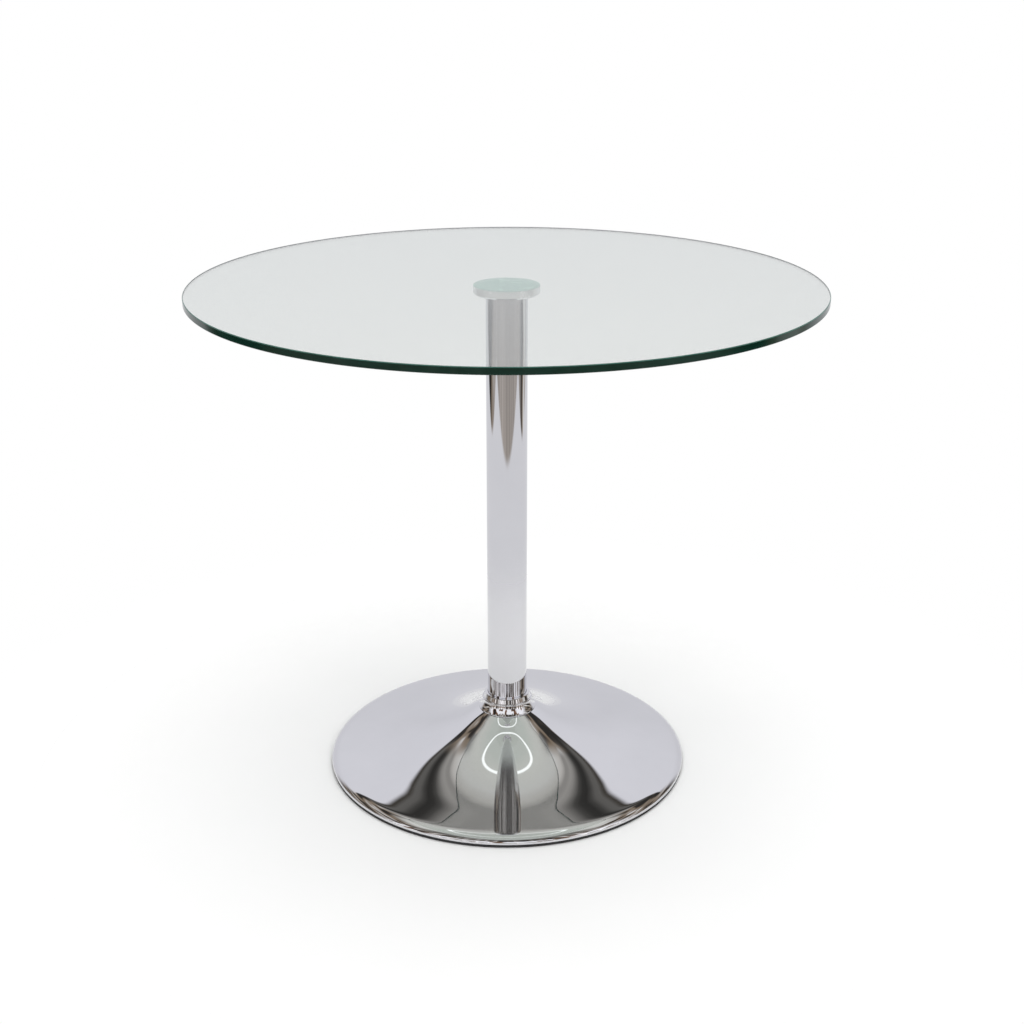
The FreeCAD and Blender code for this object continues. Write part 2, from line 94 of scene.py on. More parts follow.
def rounded(corners):
    """Outline with its corners rounded. A corner is (across, height) or (across, height, radius)."""
    points = []
    count = len(corners)
    for index, corner in enumerate(corners):
        here = Vector(corner[:2])
        radius = corner[2] if len(corner) > 2 else 0
        if not radius:
            points.append(tuple(here))
            continue
        to_last = (Vector(corners[index - 1][:2]) - here).normalized()
        to_next = (Vector(corners[(index + 1) % count][:2]) - here).normalized()
        half = math.acos(max(-1, min(1, to_last.dot(to_next)))) / 2
        reach = radius / math.tan(half)
        centre = here + (to_last + to_next).normalized() * radius / math.sin(half)
        start = here + to_last * reach - centre
        sweep = math.pi - 2 * half
        turn = 1 if to_last.x * to_next.y - to_last.y * to_next.x < 0 else -1
        first = math.atan2(start.y, start.x)
        # a row just outside each end of the fillet keeps the flats flat in smooth shading
        points.append(tuple(here + to_last * reach * (1 + HOLDING_ROW)))
        points += arc_points(centre, radius, first, first + turn * sweep, FILLET_STEPS)
        points.append(tuple(here + to_next * reach * (1 + HOLDING_ROW)))
    return points


def ring_of(shape, across, height, count):
    """Ring of new vertices about Z."""
    angles = [2 * math.pi * step / count for step in range(count)]
    return [
        shape.verts.new((across * math.cos(angle), across * math.sin(angle), height)) for angle in angles
    ]


def join(shape, ring, following):
    """Faces between two rings with the same number of vertices. A vertex that repeats counts once."""
    count = len(ring)
    for step in range(count):
        after = (step + 1) % count
        corners = list(dict.fromkeys((ring[step], ring[after], following[after], following[step])))
        if len(corners) > 2:
            shape.faces.new(corners)


def turned(name, outline, turns=TURNS, sharp_angle=SHARP_ANGLE):
    """Closed solid of revolution about Z. Points on the axis become one vertex."""
    shape = bmesh.new()
    rings = []
    for across, height in outline:
        if across < ON_AXIS:
            rings.append([shape.verts.new((0, 0, height))] * turns)
        else:
            rings.append(ring_of(shape, across, height, turns))
    for ring, following in zip(rings, rings[1:] + rings[:1]):
        join(shape, ring, following)
    bmesh.ops.recalc_face_normals(shape, faces=shape.faces)
    return placed(name, shape, sharp_angle)


def placed(name, shape, sharp_angle=SHARP_ANGLE):
    """Smooth-shaded object of a shape, creased where faces meet at a sharp angle."""
    mesh = bpy.data.meshes.new(name)
    shape.to_mesh(mesh)
    shape.free()
    mesh.polygons.foreach_set("use_smooth", [True] * len(mesh.polygons))
    mesh.set_sharp_from_angle(angle=math.radians(sharp_angle))
    piece = bpy.data.objects.new(name, mesh)
    scene.collection.objects.link(piece)
    return piece


def finish_piece(piece, material, node):
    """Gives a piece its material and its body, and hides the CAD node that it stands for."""
    piece.data.materials.append(material)
    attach(piece, "root")
    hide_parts(node)
    return piece


# ---------------------------------------------------------------- node helpers
class Nodes:
    """A few short ways to write a material's node tree."""

    def __init__(self, tree):
        self.tree = tree

    def add(self, kind, **values):
        node = self.tree.nodes.new(kind)
        for key, value in values.items():
            setattr(node, key, value)
        return node

    def plug(self, socket, value):
        if isinstance(value, bpy.types.NodeSocket):
            self.tree.links.new(value, socket)
        else:
            socket.default_value = value

    def math(self, operation, *values):
        node = self.add("ShaderNodeMath", operation=operation)
        for socket, value in zip(node.inputs, values):
            self.plug(socket, value)
        return node.outputs[0]

    def plus(self, first, second):
        return self.math("ADD", first, second)

    def less(self, first, second):
        return self.math("SUBTRACT", first, second)

    def times(self, first, second):
        return self.math("MULTIPLY", first, second)

    def divided(self, first, second):
        return self.math("DIVIDE", first, second)

    def ramp(self, value, stops):
        """Colour for a value between 0 and 1. A stop is a position and a colour."""
        node = self.add("ShaderNodeValToRGB")
        self.plug(node.inputs[0], value)
        band = node.color_ramp
        while len(band.elements) < len(stops):
            band.elements.new(0.5)
        for element, (position, colour) in zip(band.elements, stops):
            element.position = position
            element.color = (*colour, 1)
        return node.outputs[0]

    def spread(self, value, low, high, new_low=0.0, new_high=1.0):
        """Smooth step of a value between low and high."""
        node = self.add("ShaderNodeMapRange", interpolation_type="SMOOTHSTEP")
        for socket, entry in zip(node.inputs, (value, low, high, new_low, new_high)):
            self.plug(socket, entry)
        return node.outputs[0]

    def degrees(self, angle, low, high, new_low=0.0, new_high=1.0):
        """Smooth step of an angle between low and high, both in degrees."""
        return self.spread(angle, math.radians(low), math.radians(high), new_low, new_high)

    def mix(self, factor, first, second, blend="MIX"):
        node = self.add("ShaderNodeMix", data_type="RGBA", blend_type=blend)
        self.plug(node.inputs[0], factor)
        for socket, entry in ((node.inputs[6], first), (node.inputs[7], second)):
            self.plug(socket, entry if isinstance(entry, bpy.types.NodeSocket) else (*entry, 1))
        return node.outputs[2]

    def noise(self, vector, scale, detail=3.0, roughness=0.5, distortion=0.0):
        node = self.add("ShaderNodeTexNoise")
        self.plug(node.inputs["Vector"], vector)
        node.inputs["Scale"].default_value = scale
        node.inputs["Detail"].default_value = detail
        node.inputs["Roughness"].default_value = roughness
        node.inputs["Distortion"].default_value = distortion
        return node.outputs["Fac"]

    def stretched(self, vector, across, along, up):
        node = self.add("ShaderNodeMapping")
        self.plug(node.inputs["Vector"], vector)
        node.inputs["Scale"].default_value = (across, along, up)
        return node.outputs[0]

    def bump(self, height, strength, distance, normal=None):
        node = self.add("ShaderNodeBump")
        node.inputs["Strength"].default_value = strength
        node.inputs["Distance"].default_value = distance
        self.plug(node.inputs["Height"], height)
        if normal is not None:
            self.plug(node.inputs["Normal"], normal)
        return node.outputs[0]

    def place(self):
        """Position in the piece's own space."""
        return self.add("ShaderNodeTexCoord").outputs["Object"]

    def radius(self, vector):
        """Distance from the turning axis, and height."""
        split = self.add("ShaderNodeSeparateXYZ")
        self.plug(split.inputs[0], vector)
        flat = self.add("ShaderNodeCombineXYZ")
        self.plug(flat.inputs[0], split.outputs[0])
        self.plug(flat.inputs[1], split.outputs[1])
        length = self.add("ShaderNodeVectorMath", operation="LENGTH")
        self.plug(length.inputs[0], flat.outputs[0])
        return length.outputs["Value"], split.outputs[2]


def new_material(name):
    """A material with one Principled shader, its node helper and that shader."""
    material = bpy.data.materials.new(name)
    material.use_nodes = True
    nodes = Nodes(material.node_tree)
    shader = material.node_tree.nodes["Principled BSDF"]
    return material, nodes, shader


def turning_lines(nodes, place, scale):
    """Fine concentric lines left by turning or spinning, as a height."""
    radius, height = nodes.radius(place)
    lines = nodes.add("ShaderNodeCombineXYZ")
    nodes.plug(lines.inputs[0], radius)
    nodes.plug(lines.inputs[2], height)
    return nodes.noise(lines.outputs[0], scale, 4.0, 0.6)


# ---------------------------------------------------------------- materials
def chrome(name, line_scale, line_depth, haze):
    """Bright chromium plate: nearly a mirror, with polishing haze, faint lines and fine marks."""
    material, nodes, shader = new_material(name)
    place = nodes.place()
    cloud = nodes.noise(place, 9.0, 5.0, 0.55)
    tone = nodes.ramp(cloud, ((0.3, (0.70, 0.70, 0.725)), (0.7, (0.735, 0.735, 0.76))))
    nodes.plug(shader.inputs["Base Color"], tone)
    shader.inputs["Metallic"].default_value = 1.0
    smear = nodes.noise(nodes.stretched(place, 1, 1, 0.3), 40.0, 6.0, 0.62)
    marks = nodes.spread(nodes.noise(place, 420.0, 2.0), 0.72, 0.8, 0.0, 0.10)
    rough = nodes.spread(smear, 0.35, 0.75, haze * 0.6, haze * 1.5)
    nodes.plug(shader.inputs["Roughness"], nodes.plus(rough, marks))
    lines = turning_lines(nodes, place, line_scale)
    waves = nodes.bump(nodes.noise(place, 14.0, 2.0), 0.25, 0.02 * MM)
    nodes.plug(shader.inputs["Normal"], nodes.bump(lines, 0.3, line_depth, waves))
    return material


def open_to_lamps(material, nodes, shader, tint):
    """Lets lamp light through a clear piece, with its tint."""
    open_side = nodes.add("ShaderNodeBsdfTransparent")
    open_side.inputs["Color"].default_value = (*tint, 1)
    path = nodes.add("ShaderNodeLightPath")
    choose = nodes.add("ShaderNodeMixShader")
    nodes.plug(choose.inputs[0], path.outputs["Is Shadow Ray"])
    nodes.plug(choose.inputs[1], shader.outputs[0])
    nodes.plug(choose.inputs[2], open_side.outputs[0])
    nodes.plug(material.node_tree.nodes["Material Output"].inputs["Surface"], choose.outputs[0])


def clear_glass():
    """Soda-lime float glass: green by its depth, with faint smears, open to lamp light."""
    material, nodes, shader = new_material("clear_float_glass")
    place = nodes.place()
    shader.inputs["Transmission Weight"].default_value = 1.0
    shader.inputs["IOR"].default_value = 1.52
    tint = nodes.ramp(nodes.noise(place, 2.2, 2.0), (
        (0.3, (0.893, 0.871, 0.862)),
        (0.7, (0.903, 0.881, 0.872)),
    ))
    nodes.plug(shader.inputs["Base Color"], tint)
    smear = nodes.noise(nodes.stretched(place, 1.0, 2.2, 1.0), 11.0, 6.0, 0.6, 0.6)
    nodes.plug(shader.inputs["Roughness"], nodes.spread(smear, 0.5, 0.85, 0.0, 0.02))
    wave = nodes.noise(nodes.stretched(place, 1.0, 0.25, 1.0), 5.0, 1.0)
    nodes.plug(shader.inputs["Normal"], nodes.bump(wave, 0.2, 0.02 * MM))
    depth = nodes.add("ShaderNodeVolumeAbsorption")
    depth.inputs["Color"].default_value = (0.125, 0.575, 0.425, 1)
    depth.inputs["Density"].default_value = 8.0
    nodes.plug(material.node_tree.nodes["Material Output"].inputs["Volume"], depth.outputs[0])
    open_to_lamps(material, nodes, shader, (0.962, 0.957, 0.963))
    return material


def glass_edge(name, dark, light, roughness):
    """Ground and polished edge of the pane, made opaque: its green is painted light, a colour standing in
    for the light that the glass gathers and lets out at its edge.
    """
    material, nodes, shader = new_material(name)
    place = nodes.place()
    ground = nodes.noise(nodes.stretched(place, 1, 1, 6), 26.0, 5.0, 0.6)
    nodes.plug(shader.inputs["Base Color"], nodes.ramp(ground, ((0.3, dark), (0.7, light))))
    nodes.plug(shader.inputs["Roughness"], nodes.spread(ground, 0.3, 0.75, roughness, roughness * 2))
    shader.inputs["IOR"].default_value = 1.52
    shader.inputs["Specular IOR Level"].default_value = 0.3
    scratches = nodes.noise(nodes.stretched(place, 1, 1, 30), 90.0, 3.0, 0.6)
    nodes.plug(shader.inputs["Normal"], nodes.bump(scratches, 0.3, 0.01 * MM))
    return material


def clear_adhesive():
    """Cured clear adhesive with a few tiny bubbles."""
    material, nodes, shader = new_material("clear_adhesive_film")
    place = nodes.place()
    bubbles = nodes.add("ShaderNodeTexVoronoi")
    nodes.plug(bubbles.inputs["Vector"], place)
    bubbles.inputs["Scale"].default_value = 260.0
    spot = nodes.spread(bubbles.outputs["Distance"], 0.03, 0.06, 0.3, 0.03)
    nodes.plug(shader.inputs["Roughness"], spot)
    tone = nodes.ramp(nodes.noise(place, 30.0), (
        (0.3, (0.75, 0.92, 0.86)),
        (0.7, (0.79, 0.94, 0.89)),
    ))
    nodes.plug(shader.inputs["Base Color"], tone)
    shader.inputs["Transmission Weight"].default_value = 1.0
    shader.inputs["IOR"].default_value = 1.5
    open_to_lamps(material, nodes, shader, (0.88, 0.97, 0.94))
    return material


def turned_metal(name, dark, light, roughness, line_scale, line_depth, metallic=1.0):
    """Turned metal: concentric tool lines, cloudy tone and brighter worn edges."""
    material, nodes, shader = new_material(name)
    place = nodes.place()
    lines = turning_lines(nodes, place, line_scale)
    cloud = nodes.noise(place, 60.0, 5.0, 0.6)
    tone = nodes.ramp(cloud, ((0.3, dark), (0.7, light)))
    wear = nodes.add("ShaderNodeNewGeometry").outputs["Pointiness"]
    edge = nodes.spread(wear, 0.52, 0.60)
    bright = tuple(min(1.0, part * 1.15) for part in light)
    nodes.plug(shader.inputs["Base Color"], nodes.mix(edge, tone, bright))
    shader.inputs["Metallic"].default_value = metallic
    rough = nodes.spread(cloud, 0.3, 0.7, roughness * 0.85, roughness * 1.2)
    nodes.plug(shader.inputs["Roughness"], rough)
    nodes.plug(shader.inputs["Normal"], nodes.bump(lines, 0.6, line_depth))
    return material


def zinc_plate():
    """Bright zinc plating with a faint yellow and blue cast."""
    material, nodes, shader = new_material("bright_zinc")
    place = nodes.place()
    cast = nodes.noise(place, 45.0, 4.0, 0.6)
    tone = nodes.ramp(cast, (
        (0.25, (0.56, 0.60, 0.66)),
        (0.5, (0.62, 0.62, 0.61)),
        (0.75, (0.66, 0.62, 0.52)),
    ))
    nodes.plug(shader.inputs["Base Color"], tone)
    shader.inputs["Metallic"].default_value = 1.0
    nodes.plug(shader.inputs["Roughness"], nodes.spread(cast, 0.3, 0.7, 0.22, 0.4))
    grain = nodes.noise(place, 900.0, 3.0)
    nodes.plug(shader.inputs["Normal"], nodes.bump(grain, 0.25, 0.02 * MM))
    return material


def rubber(name, tone, grain_scale, grain_depth):
    """Matt rubber: fine moulded grain, with pale dust in patches."""
    material, nodes, shader = new_material(name)
    place = nodes.place()
    dust = nodes.noise(place, 30.0, 6.0, 0.65)
    pale = tuple(part * 1.9 + 0.006 for part in tone)
    colour = nodes.ramp(dust, ((0.4, tone), (0.8, pale)))
    nodes.plug(shader.inputs["Base Color"], colour)
    nodes.plug(shader.inputs["Roughness"], nodes.spread(dust, 0.3, 0.8, 0.5, 0.8))
    grain = nodes.noise(place, grain_scale, 4.0, 0.6)
    nodes.plug(shader.inputs["Normal"], nodes.bump(grain, 0.5, grain_depth))
    return material


def painted_iron():
    """Black primer over sand-cast iron, worn to brown metal on high edges."""
    material, nodes, shader = new_material("primed_cast_iron")
    place = nodes.place()
    sand = nodes.noise(place, 380.0, 5.0, 0.65)
    patch = nodes.noise(place, 16.0, 5.0, 0.6)
    paint = nodes.ramp(patch, ((0.3, (0.020, 0.020, 0.022)), (0.7, (0.045, 0.044, 0.045))))
    wear = nodes.add("ShaderNodeNewGeometry").outputs["Pointiness"]
    worn = nodes.times(nodes.spread(wear, 0.53, 0.62), nodes.spread(patch, 0.45, 0.6))
    nodes.plug(shader.inputs["Base Color"], nodes.mix(worn, paint, (0.16, 0.12, 0.09)))
    nodes.plug(shader.inputs["Roughness"], nodes.spread(sand, 0.3, 0.7, 0.48, 0.72))
    nodes.plug(shader.inputs["Normal"], nodes.bump(sand, 0.6, 0.25 * MM))
    return material


# ---------------------------------------------------------------- pieces
def box_of(node):
    """Outer radius, lowest and highest height of a round CAD node."""
    low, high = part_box(node)
    return high.x, low.z, high.z


def lean_knots(edge, rim):
    """Sine of the shell's lean at each radius where its bend changes."""
    across = NECK_RADIUS
    sine = math.sin(math.atan(NECK_SLOPE))
    knots = [(across, sine)]
    for end, bend in STRETCHES:
        if end is None:
            last = (across + bend * sine - (edge - rim)) / (rim + bend)
            end = edge - rim + rim * last
            knots.append((end, last))
        elif bend:
            knots.append((end, sine - (end - across) / bend))
        else:
            knots.append((end, sine))
        across, sine = knots[-1]
    return knots


def ease_reach(radius, roll_start, last_radius):
    """How far to each side the lean is averaged: less near the neck, the roll and the rim."""
    from_neck = max((radius - NECK_RADIUS) * 0.27, (radius - STRETCHES[0][0]) * 0.75)
    from_roll = 3 * MM + 0.6 * abs(roll_start - radius)
    from_rim = (last_radius - radius) * 0.6
    return min(from_neck, from_roll, from_rim, LONGEST_EASE)


def row_radii(first, last):
    """Radii of the rows of the flare's mesh, closer together towards both ends."""
    radii = [first]
    while radii[-1] < last - 0.6 * MM:
        near_end = min(radii[-1] - first, last - radii[-1])
        radii.append(radii[-1] + min(1.6 * MM, 0.5 * MM + 0.06 * near_end))
    radii[-1] = last
    return radii


def flare_outline(top, edge, low, drop, wall):
    """Half section of the flared shell's outer or, lowered by drop, inner face, from neck to edge."""
    rim = RIM_ROUND - wall
    outer = edge - wall
    knots = lean_knots(outer, rim)
    last_radius, last_sine = knots[-1]
    roll_start = knots[-2][0]

    def sine_at(radius):
        for (start, first), (end, second) in zip(knots, knots[1:]):
            if radius <= end:
                return first + (second - first) * (radius - start) / (end - start)
        return last_sine

    def slope_at(radius):
        reach = ease_reach(radius, roll_start, last_radius)
        steps = range(-EASE_STEPS, EASE_STEPS + 1)
        samples = [sine_at(radius + reach * step / EASE_STEPS) for step in steps]
        return math.tan(math.asin(sum(samples) / len(samples)))

    height = top - drop
    points = [(NECK_HOLE, height), (NECK_RADIUS - 0.2 * MM, height), (NECK_RADIUS, height)]
    radii = row_radii(NECK_RADIUS, last_radius)
    for before, radius in zip(radii, radii[1:]):
        height -= (radius - before) * (slope_at(before) + slope_at(radius)) / 2
        points.append((radius, height))
    lean = math.asin(last_sine)
    rim_centre = (outer - rim, height - rim * math.cos(lean))
    points += arc_points(rim_centre, rim, math.pi / 2 - lean, 0, 16)[1:]
    points.append((outer, low))
    return points


def make_shell(material):
    """Spun shell with the wall that spinning leaves, thinner down the cone than on the flat."""
    edge, low, top = box_of("base_shell")
    outside = flare_outline(top, edge, low, 0, 0)
    inside = flare_outline(top, edge, low, SHELL_GAUGE, SHELL_GAUGE)
    piece = turned("flared_shell", outside + inside[::-1], sharp_angle=18)
    return finish_piece(piece, material, "base_shell")


def make_tube(material):
    """Column tube with its ends just broken."""
    radius, low, top = box_of("column_tube")
    wall = 1.5 * MM
    break_edge = 0.25 * MM
    corners = [
        (radius - wall, low + SEAM, break_edge),
        (radius, low + SEAM, break_edge),
        (radius, top - SEAM, break_edge),
        (radius - wall, top - SEAM, break_edge),
    ]
    piece = turned("chromed_column", rounded(corners), TURNS // 2)
    return finish_piece(piece, material, "column_tube")


def make_collar(material):
    """Stepped and flared cover ring, with soft polished corners."""
    skirt, low, top = box_of("collar")
    bore = 30.3 * MM
    groove = skirt - 6.9 * MM
    bead = skirt - 5.1 * MM
    bead_low = top - 10.8 * MM
    bead_high = top - 7.8 * MM
    shoulder = skirt - 8.6 * MM
    land = low + 1.6 * MM
    chord = Vector((groove - skirt, bead_low - land))
    flare_radius = 26 * MM
    left = Vector((-chord.y, chord.x)).normalized()
    middle = Vector((skirt, land)) + chord / 2
    centre = middle - left * math.sqrt(flare_radius ** 2 - (chord.length / 2) ** 2)
    first = math.atan2(land - centre.y, skirt - centre.x)
    last = math.atan2(bead_low - centre.y, groove - centre.x)
    flare = arc_points(centre, flare_radius, first, last, 24)
    bead_half = (bead_high - bead_low) / 2
    bead_centre = (bead - bead_half, bead_low + bead_half)
    bead_arc = arc_points(bead_centre, bead_half, -math.pi / 2, math.pi / 2, 20)
    upper = rounded([
        (groove, bead_high),
        (groove, top - 6.6 * MM, 0.3 * MM),
        (shoulder, top - 0.9 * MM, 0.5 * MM),
        (shoulder - 0.9 * MM, top, 0.4 * MM),
        (bore, top, 0.35 * MM),
        (bore, low, 0.3 * MM),
        (skirt, low, 0.35 * MM),
        (skirt, land),
    ])
    outline = flare + bead_arc + upper[:-1]
    piece = turned("stepped_collar", outline, TURNS // 2)
    return finish_piece(piece, material, "collar")


def make_glass(material, side, bevel):
    """Round pane with a flat polished edge between two arrises."""
    radius, low, top = box_of("glass_top")
    arris = 1.0 * MM
    soft = 0.25 * MM
    corners = [
        (0, low),
        (radius - arris, low, soft),
        (radius, low + arris, soft),
        (radius, top - arris, soft),
        (radius - arris, top, soft),
        (0, top),
    ]
    piece = turned("glass_pane", rounded(corners))
    finish_piece(piece, material, "glass_top")
    piece.data.materials.append(side)
    piece.data.materials.append(bevel)
    # the top arris takes the lighter copy, a painted highlight; the upright edge and the lower arris take
    # the darker one
    for face in piece.data.polygons:
        if abs(face.normal.z) < 0.95:
            face.material_index = 2 if face.normal.z > 0.25 else 1
    return piece


def make_film(material):
    """Adhesive film, squeezed to a rounded bead at its rim."""
    radius, low, top = box_of("bond_film")
    bead = 0.12 * MM
    corners = [
        (0, low + SEAM),
        (radius - SEAM, low + SEAM, bead),
        (radius - SEAM, top - SEAM, bead),
        (0, top - SEAM),
    ]
    piece = turned("adhesive_film", rounded(corners), SMALL_TURNS)
    return finish_piece(piece, material, "bond_film")


def make_disc(material, polished):
    """Bonding disc: satin face and side, polished bevel, spigot and blind threaded hole."""
    radius, low, top = box_of("top_disc")
    under = top - 12 * MM
    bevel = 2 * MM
    bore = 5.05 * MM
    bore_top = low + 12 * MM
    spigot = 15 * MM
    soft = 0.2 * MM
    corners = [
        (0, bore_top),
        (bore, bore_top),
        (bore, low, soft),
        (spigot, low, soft),
        (spigot, under),
        (radius - bevel, under, soft),
        (radius, under + bevel, soft),
        (radius, top, soft),
        (0, top),
    ]
    piece = turned("bonding_disc", rounded(corners), TURNS // 2)
    finish_piece(piece, material, "top_disc")
    piece.data.materials.append(polished)
    for face in piece.data.polygons:
        if 0.3 < -face.normal.z < 0.95 and face.center.z < under + bevel + soft:
            face.material_index = 1
    return piece


def make_floor_ring(material):
    """Rubber ring with a fine groove round its outside and a gripping lip."""
    radius, low, lip_top = box_of("floor_ring")
    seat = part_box("base_shell")[0].z
    inner = radius - 7.4 * MM
    lip_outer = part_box("base_shell")[1].x - SHELL_GAUGE - 0.2 * MM
    lip_inner = lip_outer - 3.4 * MM
    soft = 0.5 * MM
    groove = 0.5 * MM
    corners = [
        (inner, low, soft),
        (radius, low, 1.2 * MM),
        (radius, seat - 1.9 * MM),
        (radius - groove, seat - 1.6 * MM),
        (radius - groove, seat - 1.3 * MM),
        (radius, seat - 1.0 * MM),
        (radius, seat - SEAM, 0.4 * MM),
        (lip_outer, seat - SEAM),
        (lip_outer, lip_top, soft),
        (lip_inner, lip_top, soft),
        (lip_inner, seat, soft),
        (inner, seat, soft),
    ]
    piece = turned("rubber_floor_ring", rounded(corners))
    return finish_piece(piece, material, "floor_ring")


def make_ballast(material):
    """Cast weight with drafted, rounded edges."""
    radius, low, boss_top = box_of("ballast_disc")
    top = low + 10 * MM
    recess = 22 * MM
    recess_top = low + 14 * MM
    hole = 5.5 * MM
    corners = [
        (hole, recess_top),
        (recess, recess_top, 1.5 * MM),
        (recess, low, 1.0 * MM),
        (radius, low, 2.2 * MM),
        (radius, top, 2.2 * MM),
        (38 * MM, top, 5 * MM),
        (32 * MM, boss_top - SEAM, 1.5 * MM),
        (hole, boss_top - SEAM),
    ]
    piece = turned("cast_ballast", rounded(corners), TURNS // 2)
    return finish_piece(piece, material, "ballast_disc")


def make_rod(material):
    """M10 rod with its real thread: a helical groove round a core."""
    radius, low, top = box_of("tie_rod")
    pitch = 1.5 * MM
    depth = 0.9 * MM
    chamfer = 1.0 * MM
    around = 24
    profile = (0.0, 0.55, 1.0, 0.45)  # share of the groove's depth at even steps of one pitch
    steps = len(profile)

    def thread_radius(height, turn):
        phase = ((height - low) / pitch - turn) % 1.0 * steps
        index = int(phase) % steps
        share = phase - int(phase)
        groove = profile[index] * (1 - share) + profile[(index + 1) % steps] * share
        end_gap = min(height - low, top - height)
        return min(radius - depth * groove, radius - max(0.0, chamfer - end_gap))

    rows = int((top - low) / pitch * steps)
    shape = bmesh.new()
    rings = []
    for row in range(rows + 1):
        height = low + (top - low) * row / rows
        ring = []
        for step in range(around):
            across = thread_radius(height, step / around)
            angle = 2 * math.pi * step / around
            ring.append(shape.verts.new((across * math.cos(angle), across * math.sin(angle), height)))
        rings.append(ring)
    for ring, following in zip(rings, rings[1:]):
        join(shape, ring, following)
    shape.faces.new(rings[0][::-1])
    shape.faces.new(rings[-1])
    piece = placed("threaded_rod", shape, 60)
    return finish_piece(piece, material, "tie_rod")


def make_nut(material):
    """Hexagon nut, its corners turned to a chamfer on both faces."""
    low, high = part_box("rod_nut")
    corner_radius = high.x
    flat_radius = corner_radius * math.cos(math.pi / 6)
    face_radius = flat_radius * 0.97
    chamfer_drop = 1.4 * MM
    bore = 5.06 * MM
    break_edge = 0.5 * MM
    around = 96
    shares = (0, 0.33, 0.66, 1)
    heights = [low.z + chamfer_drop * share for share in shares]
    heights += [high.z - chamfer_drop * share for share in reversed(shares)]
    shape = bmesh.new()
    rings = []
    for height in heights:
        from_face = min(height - low.z, high.z - height)
        cone = face_radius + (corner_radius - face_radius) * min(1.0, from_face / chamfer_drop)
        ring = []
        for step in range(around):
            angle = 2 * math.pi * step / around
            hexagon = flat_radius / math.cos(angle % (math.pi / 3) - math.pi / 6)
            across = min(hexagon, cone)
            ring.append(shape.verts.new((across * math.cos(angle), across * math.sin(angle), height)))
        rings.append(ring)
    rings += [
        ring_of(shape, bore + break_edge, high.z, around),
        ring_of(shape, bore, high.z - break_edge, around),
        ring_of(shape, bore, low.z + break_edge, around),
        ring_of(shape, bore + break_edge, low.z, around),
    ]
    for ring, following in zip(rings, rings[1:] + rings[:1]):
        join(shape, ring, following)
    bmesh.ops.recalc_face_normals(shape, faces=shape.faces)
    piece = placed("hexagon_nut", shape, 28)
    return finish_piece(piece, material, "rod_nut")


# ---------------------------------------------------------------- studio
WHITE = (1.0, 1.0, 1.0)
LILAC = (0.975, 0.975, 1.02)
WARM = (1.0, 0.97, 0.90)
BROWN = (1.0, 0.88, 0.72)
GREENISH = (0.97, 1.03, 0.95)


def make_floor():
    """Plain pale floor round the table, fading into the plain background."""
    around = 96
    shape = bmesh.new()
    rings = [ring_of(shape, radius, 0, around) for radius in (0.3, 0.6, 1.0, 1.5, 2.0, 2.6)]
    shape.faces.new(rings[0])
    for inner, outer in zip(rings, rings[1:]):
        join(shape, outer, inner)
    floor = placed("studio_floor", shape)
    material, nodes, shader = new_material("pale_floor")
    place = nodes.place()
    radius, _ = nodes.radius(place)
    tone = nodes.ramp(nodes.noise(place, 3.0, 3.0), (
        (0.3, (0.805, 0.805, 0.812)),
        (0.7, (0.815, 0.815, 0.822)),
    ))
    nodes.plug(shader.inputs["Base Color"], tone)
    shader.inputs["Roughness"].default_value = 0.7
    shader.inputs["Specular IOR Level"].default_value = 0.2
    nodes.plug(shader.inputs["Alpha"], nodes.spread(radius, 0.32, 0.95, 1.0, 0.0))
    floor.data.materials.append(material)
    return floor


def stop(degrees, grey, tint=WHITE):
    """Ramp stop at an angle from straight up, where the ramp spans a half turn."""
    return degrees / 180, tuple(grey * part for part in tint)


class Look:
    """Angles of the direction in which a reflected ray leaves."""

    def __init__(self, nodes):
        split = nodes.add("ShaderNodeSeparateXYZ")
        nodes.plug(split.inputs[0], nodes.add("ShaderNodeTexCoord").outputs["Generated"])
        across, away, up = split.outputs
        level = nodes.math("MAXIMUM", nodes.less(1.0, nodes.times(up, up)), 1e-6)
        level = nodes.math("SQRT", level)
        self.side = nodes.divided(across, level)
        self.back = nodes.divided(away, level)
        self.zenith = nodes.math("ARCCOSINE", nodes.math("MINIMUM", nodes.math("MAXIMUM", up, -1.0), 1.0))
        self.tilt = nodes.divided(self.zenith, math.pi)  # 0 straight up, 1 straight down
        self.azimuth = nodes.math("ARCTAN2", across, away)  # 0 straight behind the table
        self.aside = nodes.math("ABSOLUTE", self.azimuth)
        self.facing = nodes.math("ARCTAN2", across, nodes.times(away, -1.0))  # 0 straight in front


def ceiling(nodes, look):
    """Pale ceiling with a dark gap round it, and the brown room where the sweep isn't."""
    return nodes.ramp(look.tilt, (
        stop(0, 0.68, GREENISH),
        stop(20, 0.70, GREENISH),
        stop(28, 0.77, (1.0, 1.01, 0.94)),
        stop(35, 0.72, (1.0, 1.0, 0.95)),
        stop(38.2, 0.56, WARM),
        stop(39.4, 0.30, WARM),
        stop(40, 0.30, WARM),
        stop(40.5, 0.38, WARM),
        stop(41.4, 0.32, WARM),
        stop(42.4, 0.15, WARM),
        stop(43.1, 0.045, WARM),
        stop(44.3, 0.035, WARM),
        stop(45.2, 0.08, WARM),
        stop(46, 0.16, WARM),
        stop(46.6, 0.13, WARM),
        stop(47.2, 0.05, BROWN),
        stop(48.4, 0.06, BROWN),
        stop(60, 0.10, BROWN),
        stop(90, 0.12, BROWN),
        stop(180, 0.30, BROWN),
    ))


